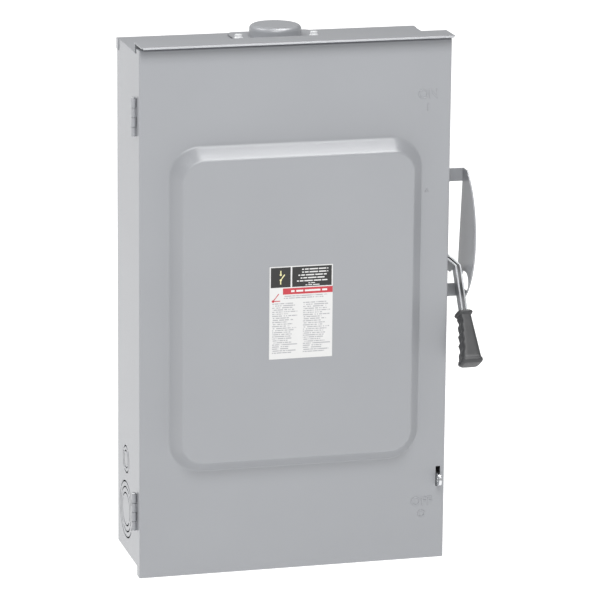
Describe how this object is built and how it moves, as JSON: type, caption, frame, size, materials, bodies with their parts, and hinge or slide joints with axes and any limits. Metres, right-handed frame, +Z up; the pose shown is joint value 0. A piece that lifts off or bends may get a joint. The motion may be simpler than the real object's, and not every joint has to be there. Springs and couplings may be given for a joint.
{
  "type": "ac disconnect box",
  "caption": "Wall-mounted outdoor disconnect switch: folded steel box with drip hood, hinged door, side lever with guard, and a fused three-pole knife switch inside.",
  "frame": {"origin": "centre of the rectangle of four wall-mounting holes, on the back face of the box", "axes": "+Z up, +X to the right seen from the front, the door faces -Y"},
  "size_m": [0.4754, 0.1956, 0.7415],
  "materials": {
    "grey_paint": "satin powder coat",
    "moulded_base": "moulded, fine texture",
    "grip_plastic": "satin moulded",
    "aluminium": "machined and tin plated",
    "plated_copper": "tin-plated copper",
    "fuse_fibre": "vulcanised fibre",
    "brass": "satin",
    "label": "printed vinyl",
    "gasket": "matte",
    "zinc_steel": "bright zinc plate"
  },
  "bodies": {
    "enclosure": {"base_screws": "zinc_steel", "bottom_wall": "grey_paint", "box_hinge_lower": "grey_paint", "box_hinge_upper": "grey_paint", "drip_hood": "grey_paint", "enclosure_wrap": "grey_paint", "fuse_base": "moulded_base", "fuse_clip_lower_1": "plated_copper", "fuse_clip_lower_2": "plated_copper", "fuse_clip_lower_3": "plated_copper", "fuse_ends_1": "brass", "fuse_ends_2": "brass", "fuse_ends_3": "brass", "fuse_tube_1": "fuse_fibre", "fuse_tube_2": "fuse_fibre", "fuse_tube_3": "fuse_fibre", "ground_bar": "aluminium", "guard_rivets": "zinc_steel", "handle_guard": "grey_paint", "hinge_jaw_1": "plated_copper", "hinge_jaw_2": "plated_copper", "hinge_jaw_3": "plated_copper", "hinge_pins": "zinc_steel", "hub_gasket": "gasket", "hub_plate": "grey_paint", "hub_screws": "zinc_steel", "kicker_spring": "zinc_steel", "latch_guide": "zinc_steel", "latch_spring": "zinc_steel", "line_lug_1": "aluminium", "line_lug_2": "aluminium", "line_lug_3": "aluminium", "line_shield": "moulded_base", "line_terminal_1": "plated_copper", "line_terminal_2": "plated_copper", "line_terminal_3": "plated_copper", "load_lug_1": "aluminium", "load_lug_2": "aluminium", "load_lug_3": "aluminium", "mechanism_bracket": "grey_paint", "neutral_bar": "aluminium", "neutral_insulator": "moulded_base", "shaft_bushing": "brass", "switch_base": "moulded_base", "top_wall": "grey_paint", "wire_screws": "zinc_steel"},
    "door": {"door_panel": "grey_paint", "door_hinge_upper": "grey_paint", "door_hinge_lower": "grey_paint", "door_label": "label", "wiring_label": "label"},
    "handle": {"lever": "zinc_steel", "grip": "grip_plastic", "handle_shaft": "zinc_steel"},
    "drive_link": {"drive_link": "zinc_steel"},
    "blade_rotor": {"crossbar": "moulded_base", "switch_blade_1": "plated_copper", "switch_blade_2": "plated_copper", "switch_blade_3": "plated_copper"},
    "latch": {"latch_hook": "zinc_steel"}
  },
  "joints": [
    {"name": "door_hinge", "type": "hinge", "parent": "enclosure", "child": "door", "pos_m": [-0.2128, -0.1248, 0], "axis": [0, 0, -1], "range_deg": [0, 170]},
    {"name": "handle_pivot", "type": "hinge", "parent": "enclosure", "child": "handle", "pos_m": [0.2, -0.082, 0.08], "axis": [-1, 0, 0], "range_deg": [0, 100]},
    {"name": "blade_swing", "type": "hinge", "parent": "enclosure", "child": "blade_rotor", "pos_m": [0, -0.05, 0.1], "axis": [-1, 0, 0], "range_deg": [0, 100]},
    {"name": "link_pivot", "type": "hinge", "parent": "handle", "child": "drive_link", "pos_m": [0.1825, -0.10181, 0.08278], "axis": [-1, 0, 0], "range_deg": [-100, 0]},
    {"name": "latch_slide", "type": "slide", "parent": "enclosure", "child": "latch", "axis": [0, 0, 1], "range_m": [0, 0.006], "stiffness_N_per_m": 150, "springref_m": -0.004, "deforming": ["latch_spring"]}
  ],
  "couplings": [
    {"joint": "blade_swing", "follows": "handle_pivot", "ratio": 1},
    {"joint": "link_pivot", "follows": "handle_pivot", "ratio": -1}
  ]
}
